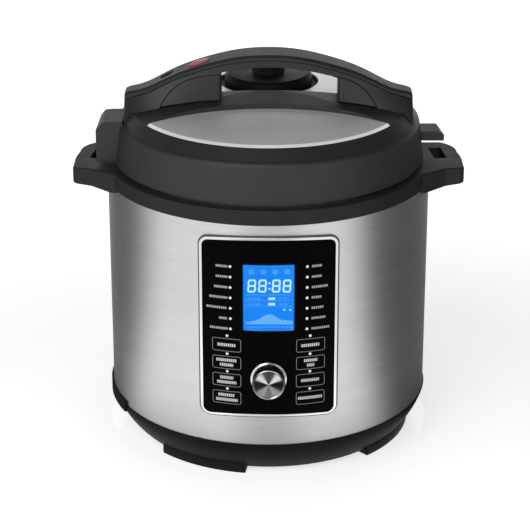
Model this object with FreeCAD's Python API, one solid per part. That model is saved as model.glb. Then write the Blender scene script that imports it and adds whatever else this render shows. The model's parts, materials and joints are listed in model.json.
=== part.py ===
"""Electric pressure cooker: steel-clad housing, inner pot and twist-off lid, in millimetres.

Origin: centre of the footprint on the surface it stands on. +Z up, -Y is the control panel side.
An azimuth is counted in degrees from the front (-Y) towards the right (+X).
"""
import FreeCAD, Part
import math
import os

# ---- driving dimensions -------------------------------------------------------------------
BODY_R = 135.0            # outside of the steel shell
SHEET = 0.8               # steel shell thickness
FOOT_H = 5.0              # clearance under the base
BASE_TOP = 34.0           # top of the black base, where the steel starts
STEEL_TOP = 225.4         # top of the steel shell
COLLAR_R = 136.0
COLLAR_TOP = 238.2
COLLAR_BORE = 127.2       # well that the lid's steel rim drops into
LID_R = 129.6             # outside of the lid's skirt at its lower edge
SKIRT_Z = 240.0           # bottom of the lid's skirt
DECK_Z = 282.0            # flat deck that carries the steel inlays
CEILING_Z = 274.8         # inside of the lid's top
INLAY_R = 113.4
BRIDGE_Z = 291.6          # crest of the raised bridge under the handle
BRIDGE_FALL = 5.2         # degrees by which its front part falls forwards
BRIDGE_CROWN_R = 600.0
POT_R = 110.4             # outside of the removable pot
POT_BOTTOM = 66.5
LINER_R = 112.6           # outside of the fixed pot that holds the removable one
RIM_Z = 235.0             # top of the bayonet flange
LUG_COUNT = 8
LUG_WIDTH = 20.0          # degrees
PANEL_HALF = 55.2         # half width of the panel frame, straight across
PANEL_Z = (58.2, 213.2)   # frame corners
PANEL_RISE = (2.2, 2.7)   # how far the middle of its lower and upper edge arches up
FASCIA_R = 136.1          # glossy face of the panel
KNOB_Z = 95.4
KEY_ROWS = (122.0, 106.5, 91.1, 75.5)
KEY_AZIMUTH = 14.4
KEY_HALF_WIDTH = 12.2
KEY_HALF_HEIGHT = 6.0
HANDLE_END = 119.4        # half length of the handle
HANDLE_END_R = 3.0        # rounding of its end faces
VALVE_Y = 62.0            # steam valve, behind the handle
FLOAT_X = -84.0           # float pin, inside the handle's left foot
BUTTON_X = -57.5
ARCH_ENDS = (-39.0, 57.5) # inner faces of the handle's two feet
FIT = 0.05                # radial clearance of a running fit
GAP = 0.3                 # clearance between pieces that move past each other

V = FreeCAD.Vector
ORIGIN = V(0, 0, 0)
X = V(1, 0, 0)
Y = V(0, 1, 0)
Z = V(0, 0, 1)


# ---- shape helpers ------------------------------------------------------------------------
def side_view(a, b):
    return V(a, 0, b)


def plan_view(a, b):
    return V(a, b, 0)


def face(view, start, *steps):
    """Flat face; a step is the next corner, or an arc given as (middle point, end point)."""
    edges = []
    here = view(*start)
    for step in steps + (start,):
        if isinstance(step[0], tuple):
            middle = view(*step[0])
            end = view(*step[1])
            edges.append(Part.Arc(here, middle, end).toShape())
        else:
            end = view(*step)
            edges.append(Part.makeLine(here, end))
        here = end
    return Part.Face(Part.Wire(edges))


def revolved(start, *steps):
    return face(side_view, start, *steps).revolve(ORIGIN, Z, 360)


def cylinder(radius, low, high, x=0.0, y=0.0):
    return Part.makeCylinder(radius, high - low, V(x, y, low))


def ring(inner, outer, low, high, x=0.0, y=0.0):
    return cylinder(outer, low, high, x, y).cut(cylinder(inner, low - 1, high + 1, x, y))


def box(x_span, y_span, z_span):
    size = (x_span[1] - x_span[0], y_span[1] - y_span[0], z_span[1] - z_span[0])
    return Part.makeBox(*size, V(x_span[0], y_span[0], z_span[0]))


def sector(inner, outer, low, high, azimuth, width):
    """Piece of a ring, width degrees wide, centred on an azimuth."""
    piece = Part.makeCylinder(outer, high - low, V(0, 0, low), Z, width)
    piece = piece.cut(cylinder(inner, low - 1, high + 1))
    return turned(piece, azimuth - width / 2 - 90)


def turned(shape, degrees):
    copy = shape.copy()
    copy.rotate(ORIGIN, Z, degrees)
    return copy


def placed(shape, x, y, z=0.0):
    copy = shape.copy()
    copy.translate(V(x, y, z))
    return copy


def mirrored(shape):
    return shape.mirror(ORIGIN, X)


def along(shape, direction):
    """Straight edges of a shape that run along a direction."""
    lines = [edge for edge in shape.Edges if isinstance(edge.Curve, Part.Line)]
    return [edge for edge in lines if edge.Curve.Direction.cross(direction).Length < 1e-6]


def circles(shape, radius, height):
    """Circular edges about Z with a radius, at a height."""
    found = [edge for edge in shape.Edges if isinstance(edge.Curve, Part.Circle)]
    found = [edge for edge in found if abs(edge.Curve.Radius - radius) < 0.01]
    return [edge for edge in found if abs(edge.Curve.Center.z - height) < 0.01]


def rounded_box(x_span, y_span, z_span, radius, direction):
    block = box(x_span, y_span, z_span)
    return block.makeFillet(radius, along(block, direction))


def fused(shapes):
    return shapes[0].fuse(shapes[1:]).removeSplitter()


def cut_all(shape, tools):
    return shape.cut(Part.makeCompound(tools))


def lug_ring(inner, outer, low, high):
    return [sector(inner, outer, low, high, index * 360 / LUG_COUNT, LUG_WIDTH)
            for index in range(LUG_COUNT)]


# ---- base ---------------------------------------------------------------------------------
BASE_WALL_R = 118.5       # radius of the base where it meets its flat bottom
BASE_HOLE_R = 100.0
BASE_CURVE = ((129.6, 19.5), (136.0, BASE_TOP))
SCREW_PLACES = [(sx * 65.0, sy * 65.0) for sx in (-1, 1) for sy in (-1, 1)]
FOOT_AZIMUTHS = {"front_left": -28, "front_right": 62, "rear_right": 152, "rear_left": 242}


def base_bowl():
    bowl = revolved((BASE_HOLE_R, FOOT_H), (BASE_WALL_R, FOOT_H), BASE_CURVE, (134.1, BASE_TOP),
                    (134.1, 44), (131.8, 44), (131.8, 31), ((126.4, 19.0), (116.5, FOOT_H + 3)),
                    (BASE_HOLE_R, FOOT_H + 3))
    upstand = sector(BODY_R + FIT, 137.0, BASE_TOP - 6, BASE_TOP + 3.5, -80, 34)
    return fused([bowl, upstand.cut(bowl)])


def bottom_cover():
    plate = cylinder(BASE_HOLE_R - 0.2, FOOT_H, FOOT_H + 2.5)
    slot = rounded_box((-1.6, 1.6), (22, 50), (FOOT_H - 1, FOOT_H + 4), 1.5, Z)
    slots = [turned(slot, index * 15 + 7.5) for index in range(24)]
    holes = [cylinder(1.75, 0, 10, x, y) for x, y in SCREW_PLACES]
    return cut_all(plate, slots + holes)


def foot(azimuth):
    """Curved rubber foot that wraps the lower edge of the base."""
    pad = sector(103, 122.2, 0, 9.5, azimuth, 38)
    return pad.cut(revolved((0, FOOT_H), (BASE_WALL_R, FOOT_H), BASE_CURVE, (0, BASE_TOP)))


def base_screws():
    screws = []
    for x, y in SCREW_PLACES:
        head = cylinder(3.5, 2.9, FOOT_H, x, y)
        head = head.makeFillet(1.0, circles(head, 3.5, 2.9))
        screws.append(fused([head, cylinder(1.7, FOOT_H, 18, x, y)]))
    return Part.makeCompound(screws)


def support_bracket():
    """Steel plate on four screw posts, with four pillars that carry the liner."""
    plate = ring(24, 112, 24, 25.5)
    posts = [ring(1.75, 4.5, FOOT_H + 2.5, 24, x, y) for x, y in SCREW_PLACES]
    pillars = [turned(cylinder(4, 25.5, 50, 0, -104), 45 + 90 * index) for index in range(4)]
    return fused([plate] + posts + pillars)


# ---- housing ------------------------------------------------------------------------------
INLET_HALF = (13.8, 10.8)
INLET_Z = 60.0


def steel_shell():
    shell = ring(BODY_R - SHEET, BODY_R, BASE_TOP, STEEL_TOP)
    panel = panel_opening(2.0, 5.4)
    inlet = box((-14, 14), (100, 140), (INLET_Z - 11, INLET_Z + 11))
    return cut_all(shell, [panel, inlet])


EAR_EDGE_R = 1.5


def ear_edges(block, level):
    """Outer edges of the ear at the collar's top, or of its underside when no level is given."""
    outer = [edge for edge in block.Edges if edge.BoundBox.XMin > 115 and edge.BoundBox.XMax > 125]
    if level is None:
        return [edge for edge in outer if edge.BoundBox.ZMax < 226 and edge.BoundBox.XMax > 140]
    return [edge for edge in outer if edge.BoundBox.ZMin > level - 0.01]


def ear():
    """Right-hand carrying ear, with the slot that holds the open lid upright."""
    plan = face(plan_view, (118, 33.2), (147.1, 33.2), ((154.6, 26.0), (159.3, 9.0)),
                ((161.1, -0.5), (161.8, -10)), (161.8, -29), ((160.9, -33.2), (157.0, -35.2)),
                (146.5, -37.0), (119.8, -55.3), (112, -62), (112, 0))
    block = plan.extrude(Z * 30)
    block.translate(Z * (COLLAR_TOP - 28))
    section = face(side_view, (110, 225.5), (131, 221), (163, 224.6), (163, COLLAR_TOP),
                   (110, COLLAR_TOP)).extrude(Y * 120)
    section.translate(Y * -70)
    slot = rounded_box((-5.4, 5.4), (-13.6, 13.6), (200, 250), 0.8, Z)
    slot.rotate(ORIGIN, Z, 7.4)
    slot.translate(V(142.3, 3.6, 0))
    block = block.common(section)
    for level in (COLLAR_TOP, None):
        block = block.makeFillet(EAR_EDGE_R, ear_edges(block, level))
    return block.cut(slot)


def upper_collar():
    body = revolved((COLLAR_BORE, COLLAR_TOP), (134.4, COLLAR_TOP),
                    ((135.5, COLLAR_TOP - 0.5), (COLLAR_R, COLLAR_TOP - 1.6)),
                    (COLLAR_R, STEEL_TOP + 0.1), (133.9, STEEL_TOP + 0.1), (133.9, 214), (131.5, 214),
                    (131.5, 222), (113.0, 222), (113.0, 225), (COLLAR_BORE, 225))
    room = cylinder(BODY_R + 0.1, 200, STEEL_TOP + 0.1).fuse(cylinder(131, 200, 260))
    right = ear().cut(room)
    return fused([body, right, mirrored(right)])


def cooker_liner():
    """Fixed steel pot with the bayonet flange that the lid locks to."""
    wall = revolved((LINER_R - 1, 51), (LINER_R - 1, RIM_Z), (118.4, RIM_Z), (118.4, RIM_Z - 2),
                    (LINER_R, RIM_Z - 2), (LINER_R, 50), (30, 50), (30, 51))
    return fused([wall] + lug_ring(118.3, 122.0, RIM_Z - 2, RIM_Z))


def heating_plate():
    """Cast aluminium plate with its ring-shaped element moulded into the underside."""
    plate = ring(16, 100, 56, 66)
    plate = plate.makeFillet(2.0, circles(plate, 100, 66))
    element = ring(66, 74, 53, 56)
    legs = [turned(cylinder(4, 51, 56, 0, -88), 60 + 120 * index) for index in range(3)]
    return fused([plate, element] + legs)


def sensor_holder():
    return fused([ring(4.1, 29.8, 50, 51), ring(4.1, 7, 40, 50)])


def temperature_sensor():
    cap = cylinder(12, 61, POT_BOTTOM - 0.2)
    cap = cap.makeFillet(1.5, circles(cap, 12, POT_BOTTOM - 0.2))
    collar = cylinder(5.5, 37, 39)
    return fused([cap, cylinder(4.1 - FIT, 39, 61), collar])


def pressure_switch():
    body = rounded_box((40, 64), (-9, 9), (25.5, 38), 2, Z)
    lever = box((46, 60), (-3, 3), (38, 39.5))
    return fused([body, lever])


def thermal_fuse():
    fuse = Part.makeCylinder(3.5, 26, V(-62, -13, 46.4), Y)
    leads = Part.makeCylinder(0.8, 44, V(-62, -22, 46.4), Y)
    return fused([fuse, leads])


def power_board():
    board = box((-42, 42), (116.4, 118), (86, 196))
    relay = rounded_box((-34, -14), (118, 128.5), (100, 128), 1, Y)
    transformer = rounded_box((2, 30), (118, 127.5), (100, 130), 1.5, Y)
    capacitors = [Part.makeCylinder(5, 8, V(x, 118, 150), Y) for x in (-26, -10, 6, 22)]
    return fused([board, relay, transformer] + capacitors)


def power_inlet():
    """Three-pin mains inlet, open to the rear."""
    half_x, half_z = INLET_HALF
    body = rounded_box((-half_x, half_x), (118, 137), (INLET_Z - half_z, INLET_Z + half_z), 2, Y)
    flange = rounded_box((-19, 19), (135.2, 138), (INLET_Z - 14, INLET_Z + 14), 3, Y)
    socket = rounded_box((-12, 12), (121, 140), (INLET_Z - 8, INLET_Z + 8), 3, Y)
    return fused([body, flange]).cut(socket)


def inlet_pins():
    places = ((-7, INLET_Z - 2), (0, INLET_Z + 1), (7, INLET_Z - 2))
    return Part.makeCompound([box((x - 1, x + 1), (121, 132), (z - 2, z + 2)) for x, z in places])


CUP_HALF = 25.5
CUP_Z = (166.0, 207.5)
CUP_BACK = 151.6          # as far back as the knob stands forward


def cup_bracket():
    depth = (120, 150)
    canopy = rounded_box((-33, 33), depth, (208, 213), 1.5, Y)
    sides = [box(span, depth, (196, 208)) for span in ((-33, -29.6), (29.6, 33))]
    ledges = [box(span, depth, (196, 198.6)) for span in ((-29.6, -26.3), (26.3, 29.6))]
    return fused([canopy] + sides + ledges).cut(cylinder(BODY_R + FIT, 150, 230))


def condensation_cup():
    low, high = CUP_Z
    body = rounded_box((-CUP_HALF, CUP_HALF), (136, CUP_BACK), (low, high), 5, Z)
    body = body.makeFillet(3, [edge for edge in body.Edges if edge.BoundBox.ZMax < low + 0.01])
    rim = box((-29.2, 29.2), (136, 149.5), (199.2, 201.4))
    room = (-CUP_HALF + 1.6, CUP_HALF - 1.6)
    hollow = rounded_box(room, (137.6, CUP_BACK - 1.6), (low + 2, high + 1), 3.4, Z)
    return fused([body, rim]).cut(hollow)


# ---- control panel ------------------------------------------------------------------------
WINDOW = (20.2, 136.0, 192.4)
LED_ARC = 30.6
KEY_LED_ARC = 33.4
LED_ROWS = [190.1 - 8.95 * index for index in range(7)]
KEY_LED_ROWS = (130.1, 114.3, 98.8, 83.4)
LED_R = 1.1


def panel_block(half_width, low, high, radius):
    return rounded_box((-half_width, half_width), (-150, -100), (low, high), radius, Y)


def panel_skin(half_width, low, high, radius, inner, outer):
    """Rounded rectangle laid on the cylinder between two radii."""
    return panel_block(half_width, low, high, radius).common(ring(inner, outer, low - 5, high + 5))


def panel_opening(inset, radius):
    """Prism through the panel's outline, whose lower and upper edges arch, drawn in by an inset."""
    half = PANEL_HALF - inset
    low = PANEL_Z[0] + inset
    high = PANEL_Z[1] - inset
    outline = face(side_view, (-half, low), ((0, low + PANEL_RISE[0]), (half, low)), (half, high),
                   ((0, high + PANEL_RISE[1]), (-half, high)))
    outline.translate(Y * -150)
    block = outline.extrude(Y * 50)
    return block.makeFillet(radius, along(block, Y))


def panel_layer(inset, radius, inner, outer):
    """The panel's outline laid on the cylinder between two radii."""
    return panel_opening(inset, radius).common(ring(inner, outer, 40, 230))


def peg(radius, arc, height, inner, outer):
    """Radial pin through the panel, placed by its distance round the steel."""
    pin = Part.makeCylinder(radius, outer - inner, V(0, -outer, height), Y)
    return turned(pin, math.degrees(arc / BODY_R))


def led_pegs(radius, inner, outer):
    pegs = []
    for side in (-1, 1):
        pegs += [peg(radius, side * LED_ARC, height, inner, outer) for height in LED_ROWS]
        pegs += [peg(radius, side * KEY_LED_ARC, height, inner, outer) for height in KEY_LED_ROWS]
    return pegs


def key_block(side, height, grow):
    half_x = KEY_HALF_WIDTH + grow
    half_z = KEY_HALF_HEIGHT + grow
    block = rounded_box((-half_x, half_x), (-145, -128), (height - half_z, height + half_z), 1.8, Y)
    return turned(block, side * KEY_AZIMUTH)


def panel_frame():
    return panel_layer(0, 7.5, BODY_R + FIT, 137.2).cut(panel_opening(2.1, 5.4))


def panel_gasket():
    """Dark rubber seal that shows as a line round the frame."""
    return panel_layer(-1.0, 8.5, BODY_R + FIT, 136.0).cut(panel_opening(0, 7.5))


def panel_fascia():
    plate = panel_layer(2.2, 5.3, 134.0, FASCIA_R)
    half, low, high = WINDOW
    tools = [panel_block(half + 0.1, low - 0.1, high + 0.1, 1.0)]
    tools += [key_block(side, height, GAP) for side in (-1, 1) for height in KEY_ROWS]
    tools += led_pegs(LED_R + 0.05, 130, 140)
    tools.append(Part.makeCylinder(3.5, 30, V(0, -145, KNOB_Z), Y))
    return cut_all(plate, tools)


def display_window():
    half, low, high = WINDOW
    return panel_skin(half, low, high, 0.9, 134.4, FASCIA_R + 0.05)


def indicator_leds():
    return Part.makeCompound(led_pegs(LED_R, 133.8, FASCIA_R + 0.1))


def panel_carrier():
    """Plastic tray behind the steel that holds the fascia and the board."""
    tray = panel_skin(58, 58, 213, 6, 130.9, 133.7)
    half, low, high = WINDOW
    windows = [panel_block(half + 2, low - 2, high + 2, 1.0)]
    for side in (-1, 1):
        windows.append(turned(box((-15, 15), (-145, -125), (66, 132)), side * KEY_AZIMUTH))
        windows.append(turned(box((-3, 3), (-145, -125), (134, 194)), side * 13.0))
    windows.append(Part.makeCylinder(5, 30, V(0, -145, KNOB_Z), Y))
    feet = [box(span, (-126, -118.6), (198, 206)) for span in ((-41, -35), (35, 41))]
    return cut_all(fused([tray] + feet), windows)


def control_board():
    """Circuit board with one small switch behind each key."""
    board = box((-46, 46), (-118.6, -117), (66, 208))
    switches = []
    for side in (-1, 1):
        for height in KEY_ROWS:
            x = side * 33.5
            switches.append(box((x - 3, x + 3), (-127.9, -118.6), (height - 3, height + 3)))
    shaft_hole = Part.makeCylinder(4, 10, V(0, -122, KNOB_Z), Y)
    return fused([board] + switches).cut(shaft_hole)


def lcd_module():
    return rounded_box((-21.6, 21.6), (-130.6, -118.6), (134.2, 194.2), 1.0, Y)


def key(side, height):
    return key_block(side, height, 0).common(ring(133.9, FASCIA_R + 0.05, 60, 140))


def control_knob():
    """Tapered metal knob with a polished rim round its dished face."""
    knob = revolved((3 + FIT, 0), (14.5, 0), (14.5, 3.2), (13.3, 4.2), (13.1, 13.6),
                    ((12.8, 14.6), (12.0, 14.9)), (11.2, 14.2), (0, 14.2), (0, 10), (3 + FIT, 10))
    knob.rotate(ORIGIN, X, 90)
    return placed(knob, 0, -136.7, KNOB_Z)


def encoder_shaft():
    return Part.makeCylinder(3.0, 27.4, V(0, -146.4, KNOB_Z), Y)


def encoder_body():
    body = rounded_box((-7, 7), (-128, -118.6), (KNOB_Z - 7, KNOB_Z + 7), 1, Y)
    return body.cut(Part.makeCylinder(3.0 + FIT, 20, V(0, -130, KNOB_Z), Y))


# ---- removable pot and seal ---------------------------------------------------------------
def inner_pot():
    radius = POT_R
    inside = POT_R - 1.0
    low = POT_BOTTOM
    return revolved((0, low), (radius - 14, low), ((radius - 4.1, low + 4.1), (radius, low + 14)),
                    (radius, 235.2), (117.4, 235.2), (117.4, 236.3), (inside, 236.3),
                    (inside, low + 14), ((inside - 3.8, low + 5.3), (inside - 13, low + 1.5)),
                    (0, low + 1.5))


def sealing_gasket():
    return revolved((112.6, 236.7), (121.4, 236.7), (121.4, 246), (119.0, 246), (119.0, 239.5),
                    (115.4, 239.5), (115.4, 244.0), (112.6, 244.0))


def gasket_rack():
    return Part.makeTorus(117.2, 1.3, V(0, 0, 245.0))


# ---- lid ----------------------------------------------------------------------------------
FLOAT_HOLE_R = 3.4


def lid_outline_face(edge_r, deck_z):
    """Half section of the lid's outside, from its skirt to its deck."""
    return face(side_view, (0, SKIRT_Z), (LID_R, SKIRT_Z), (126.0, 268.6), ((125.1, 271.6), (122.9, 273.6)),
                (edge_r + 0.3, DECK_Z), (edge_r, deck_z), (0, deck_z))


BRIDGE_WAIST = 20.0


def bridge_plan(grow):
    """Plan of the raised bridge: waisted in front, cut back straight in front of the steam valve."""
    waist = BRIDGE_WAIST + grow
    tip = 57.4 + grow
    end = 131.0
    far = 80.0
    back = 9.5 + grow
    step = 25.0 + grow
    left, right = ARCH_ENDS
    return face(plan_view, (-98, -tip), ((0, -waist), (98, -tip)), (end, -far), (end, far),
                (98, tip), (right + 6 - grow, step), (right + 0.6 - grow, step), (right + 0.6 - grow, back),
                (left - 0.6 + grow, back), (left - 0.6 + grow, step), (left - 6 + grow, step), (-98, tip),
                (-end, far), (-end, -far))


def bridge():
    crown = Part.makeCylinder(BRIDGE_CROWN_R, 300, V(0, -150, BRIDGE_Z - BRIDGE_CROWN_R), Y)
    block = bridge_plan(0).extrude(Z * 20)
    block.translate(Z * (DECK_Z - 1))
    front = box((-200, 200), (-200, 200), (DECK_Z - 20, DECK_Z + 7))
    front.rotate(V(0, -BRIDGE_WAIST, DECK_Z + 7), X, BRIDGE_FALL)
    block = block.common(front)
    cap = lid_outline_face(INLAY_R + 0.1, BRIDGE_Z + 1).revolve(ORIGIN, Z, 360)
    return block.common(crown).common(cap)


def lid_envelope():
    deck = lid_outline_face(INLAY_R + 0.1, DECK_Z).revolve(ORIGIN, Z, 360)
    return fused([deck, bridge()])


def valve_well(low):
    return cylinder(43.0, low, 300, 0, VALVE_Y)


def lid_shell():
    inside = revolved((0, SKIRT_Z - 1), (127.6, SKIRT_Z - 1), (126.5, 257), (124.2, 267), (120.6, 271.8),
                      (117.4, CEILING_Z), (0, CEILING_Z))
    tools = [inside, valve_well(279)]
    tools.append(cylinder(5 + FIT, 270, 290, 0, VALVE_Y))
    tools.append(cylinder(FLOAT_HOLE_R, 270, 300, FLOAT_X))
    tools.append(cylinder(4 + FIT, 270, 281))
    tools += [cylinder(1.95, 270, 300, x, y) for x, y in LID_SCREW_PLACES]
    return cut_all(lid_envelope(), tools)


def steel_inlays():
    """Front and rear steel plates with a bevelled, polished outer edge."""
    disc = revolved((0, DECK_Z + FIT), (INLAY_R, DECK_Z + FIT), (INLAY_R, DECK_Z + 0.2),
                    (110.6, 283.8), ((60, 284.5), (0, 284.8)))
    gap = bridge_plan(0.15).extrude(Z * 30)
    gap.translate(Z * 270)
    left, right = ARCH_ENDS
    feet = [box(span, (5, 25.2), (280, 290)) for span in ((left - 2, left + GAP), (right - GAP, right + 2))]
    return cut_all(disc, [gap, valve_well(270)] + feet)


def inner_lid():
    """Steel pressure lid: dished plate, rim with locking lugs, and the post that hangs it."""
    pan = revolved((0, 262), (119, 262), ((123.2, 260.2), (125, 256)), (125, 228), (126.2, 228),
                   (126.2, 256), ((124.1, 261.1), (119, 263.2)), (0, 263.2))
    lugs = lug_ring(122.4, 125.1, 228, 231.2)
    post = ring(0.5, 9, 263.2, CEILING_Z)
    whole = fused([pan, post] + lugs)
    tools = [cylinder(4 + FIT, 250, 280), cylinder(5 + FIT, 250, 270, 0, VALVE_Y)]
    tools.append(cylinder(FLOAT_HOLE_R, 250, 270, FLOAT_X))
    return cut_all(whole, tools)


def lid_bolt():
    corners = [(8 * math.cos(math.radians(60 * i)), 8 * math.sin(math.radians(60 * i))) for i in range(6)]
    head = face(plan_view, *corners).extrude(Z * 4.5)
    head.translate(Z * 257.5)
    return fused([head, cylinder(4, 262, 280.5)])


LID_SCREW_PLACES = [(sx * 101.0, sy * 10.0) for sx in (-1, 1) for sy in (-1, 1)]


def lid_screws():
    screws = []
    for x, y in LID_SCREW_PLACES:
        head = cylinder(3.6, 271.8, CEILING_Z, x, y)
        screws.append(fused([head, cylinder(1.9, CEILING_Z, 289, x, y)]))
    return Part.makeCompound(screws)


def steam_filter():
    """Slotted cap under the lid that keeps food out of the steam pipe."""
    cap = ring(12.6, 14, 249.5, 261.9, 0, VALVE_Y).fuse(ring(2.6, 14, 248, 249.5, 0, VALVE_Y))
    slots = []
    for index in range(6):
        slot = box((-1.2, 1.2), (-16, 16), (252, 259))
        slot.rotate(ORIGIN, Z, index * 30)
        slots.append(placed(slot, 0, VALVE_Y))
    return cut_all(cap, slots)


def lid_tab_left():
    """Tall block on the lid's rim that carries the grip and the locking marks."""
    inner = -HANDLE_END - GAP
    plan = face(plan_view, (inner, -31), (-142.4, -31), (-139.8, 4.5), (inner, 4.5))
    block = plan.extrude(Z * 35)
    block.translate(Z * 242)
    outline = face(side_view, (-118, 240), (-143, 240), (-143, 268.5), (-136.5, 276.4), (-118, 278))
    outline = outline.extrude(Y * 60)
    block = block.common(placed(outline, 0, -40))
    edges = [edge for edge in block.Edges if edge.BoundBox.XMax < -134]
    block = block.makeFillet(1.6, edges)
    return block.cut(lid_envelope()).cut(cylinder(LID_R, 230, SKIRT_Z))


def lid_tab_right():
    """Flat tab that drops into an ear's slot to hold the open lid upright."""
    plan = face(plan_view, (118, -11), (146.6, -11), (141.4, 11), (118, 11))
    block = plan.extrude(Z * 8)
    block.translate(Z * 254)
    outline = face(side_view, (118, 254), (147, 254), (147, 258.5), (141.5, 262), (118, 262))
    outline = outline.extrude(Y * 40)
    block = block.common(placed(outline, 0, -20))
    block = block.makeFillet(1.0, [edge for edge in block.Edges if edge.BoundBox.XMin > 136])
    return block.cut(lid_envelope()).cut(cylinder(LID_R, 230, SKIRT_Z))


# ---- handle -------------------------------------------------------------------------------
HANDLE_TOP = ((0, 328.5), (26, 326.6), (52, 320.6), (68, 315.4), (80, 310.4), (92, 304.2),
              (100, 300.4), (109, 297.6), (HANDLE_END, 294.4))
COVER_DEPTH = 4.4
PARTING = 0.45            # open line between the cover and the body of the handle
PILLAR_LIFT = 1.2         # shadow gap between a filler piece and the lid
PILLAR_FOOT = 9.0
PILLAR_EDGE_R = 3.0
ARCH_R = 180.0
ARCH_Z = 318.2            # underside of the handle's middle


def handle_section(x, top):
    """Cross-section: flat top with eased corners, sides that spread towards the lid."""
    spread = (x / HANDLE_END) ** 2
    upper = 15.0 - 5.0 * spread
    lower = 15.6 + 18.0 * spread
    points = [(-lower, 274), (-upper, top - COVER_DEPTH), (-upper, top - 2.4), (-upper + 2.6, top - 0.3),
              (upper - 2.6, top - 0.3), (upper, top - 2.4), (upper, top - COVER_DEPTH), (lower, 274)]
    return Part.makePolygon([V(x, y, z) for y, z in points + points[:1]])


def handle_block():
    stations = [(-x, z) for x, z in reversed(HANDLE_TOP[1:])] + list(HANDLE_TOP)
    wires = [handle_section(x, z) for x, z in stations]
    block = Part.makeLoft(wires, True, False)
    ends = [edge for edge in block.Edges if abs(abs(edge.CenterOfMass.x) - HANDLE_END) < 0.01]
    return block.makeFillet(HANDLE_END_R, [edge for edge in ends if edge.CenterOfMass.z > 276])


def handle_region(drop, low):
    """Everything under the handle's top line, lowered by a drop, down to a height."""
    stations = [(-x, z) for x, z in reversed(HANDLE_TOP[1:])] + list(HANDLE_TOP)
    curve = Part.BSplineCurve()
    curve.interpolate([V(x, -60, z - drop) for x, z in stations])
    left = V(-HANDLE_END, -60, low)
    right = V(HANDLE_END, -60, low)
    edges = [curve.toShape(), Part.makeLine(curve.EndPoint, right), Part.makeLine(right, left),
             Part.makeLine(left, curve.StartPoint)]
    return Part.Face(Part.Wire(edges)).extrude(Y * 120)


def arch_opening():
    left, right = ARCH_ENDS
    rise = [ARCH_Z - x * x / (2 * ARCH_R) for x in (left, right)]
    opening = face(side_view, (left, 270), (left, rise[0]), ((0, ARCH_Z), (right, rise[1])),
                   (right, 270)).extrude(Y * 120)
    return placed(opening, 0, -60)


def pillar_region(side, grow):
    """Outline of the separate filler piece inside one end of the arch."""
    points = ((90.5, 276), (89.5, 284.2), (85.0, 292.2), (75.5, 302.0), (65.5, 307.2), (50, 311.0),
              (30, 312.0))
    curve = Part.BSplineCurve()
    curve.interpolate([V(side * (x + grow), -60, z + grow) for x, z in points])
    corner = V(side * 30, -60, 270)
    foot = V(side * 90.5 + side * grow, -60, 270)
    edges = [curve.toShape(), Part.makeLine(curve.EndPoint, corner), Part.makeLine(corner, foot),
             Part.makeLine(foot, curve.StartPoint)]
    return Part.Face(Part.Wire(edges)).extrude(Y * 120)


def button_axis():
    """Point on the handle's top at the button, and the outward normal there."""
    slope = (318.9 - 314.3) / 14.0
    normal = V(-slope, 0, 1)
    normal.normalize()
    return V(BUTTON_X, 0, 318.4), normal


def button_block(grow, low, high):
    """Oval prism along the button's travel, from low to high about the handle's top."""
    centre, normal = button_axis()
    oval = Part.Ellipse(ORIGIN, 9.1 + grow, 5.6 + grow)
    block = Part.Face(Part.Wire(oval.toShape())).extrude(Z * (high - low))
    block.translate(Z * low)
    block.rotate(ORIGIN, Y, -math.degrees(math.asin(-normal.x)))
    block.translate(centre)
    return block


def release_button():
    return button_block(0, -7, 0.9)


def handle_tools():
    """Holes through the handle for the button, the float pin and the lid screws."""
    tools = [button_block(GAP, -11, 12), cylinder(4.6, 270, 320, FLOAT_X)]
    tools.append(rounded_box((FLOAT_X - 6, FLOAT_X + 6), (-4.4, 4.4), (305, 330), 4.3, Z))
    tools += [cylinder(1.95, 270, 290, x, y) for x, y in LID_SCREW_PLACES]
    return Part.makeCompound(tools)


def handle_cover():
    block = handle_block().cut(handle_region(COVER_DEPTH, 260))
    return block.cut(handle_tools())


def handle_rest():
    """The handle under its cover, fitted to the lid, with the hand opening cut out."""
    block = handle_block().common(handle_region(COVER_DEPTH + PARTING, 270))
    return block.cut(arch_opening()).cut(lid_envelope()).cut(handle_tools())


def handle_body():
    return handle_rest().cut(pillar_region(-1, 0.4)).cut(pillar_region(1, 0.4))


def handle_pillar(side):
    """Filler piece with rolled inner edges; it stands on a foot set back from its sides."""
    inner = ARCH_ENDS[0] if side < 0 else ARCH_ENDS[1]
    shadow = placed(lid_envelope(), 0, 0, PILLAR_LIFT)
    span = sorted((inner + side * PILLAR_EDGE_R, side * 100))
    shadow = shadow.cut(box(span, (-PILLAR_FOOT, PILLAR_FOOT), (270, 300)))
    block = handle_rest().common(pillar_region(side, 0)).cut(shadow)
    flat = [edge for edge in block.Edges if edge.BoundBox.XLength < 0.01 and edge.BoundBox.ZLength > 8]
    return block.makeFillet(PILLAR_EDGE_R, [edge for edge in flat if abs(edge.BoundBox.XMin - inner) < 0.01])


# ---- valves -------------------------------------------------------------------------------
def float_pin():
    seal = cylinder(6, 254, 257.2, FLOAT_X)
    pin = cylinder(3, 257.2, 300, FLOAT_X)
    head = cylinder(4, 300, 304.5, FLOAT_X)
    head = head.makeFillet(1.2, circles(head, 4, 304.5))
    return fused([seal, pin, head])


def valve_base():
    base = ring(5 + FIT, 42.5, 279, 281.3, 0, VALVE_Y)
    return base.makeFillet(0.8, circles(base, 42.5, 281.3))


def valve_stem():
    return ring(2.5, 5, 250, 286, 0, VALVE_Y)


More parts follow.
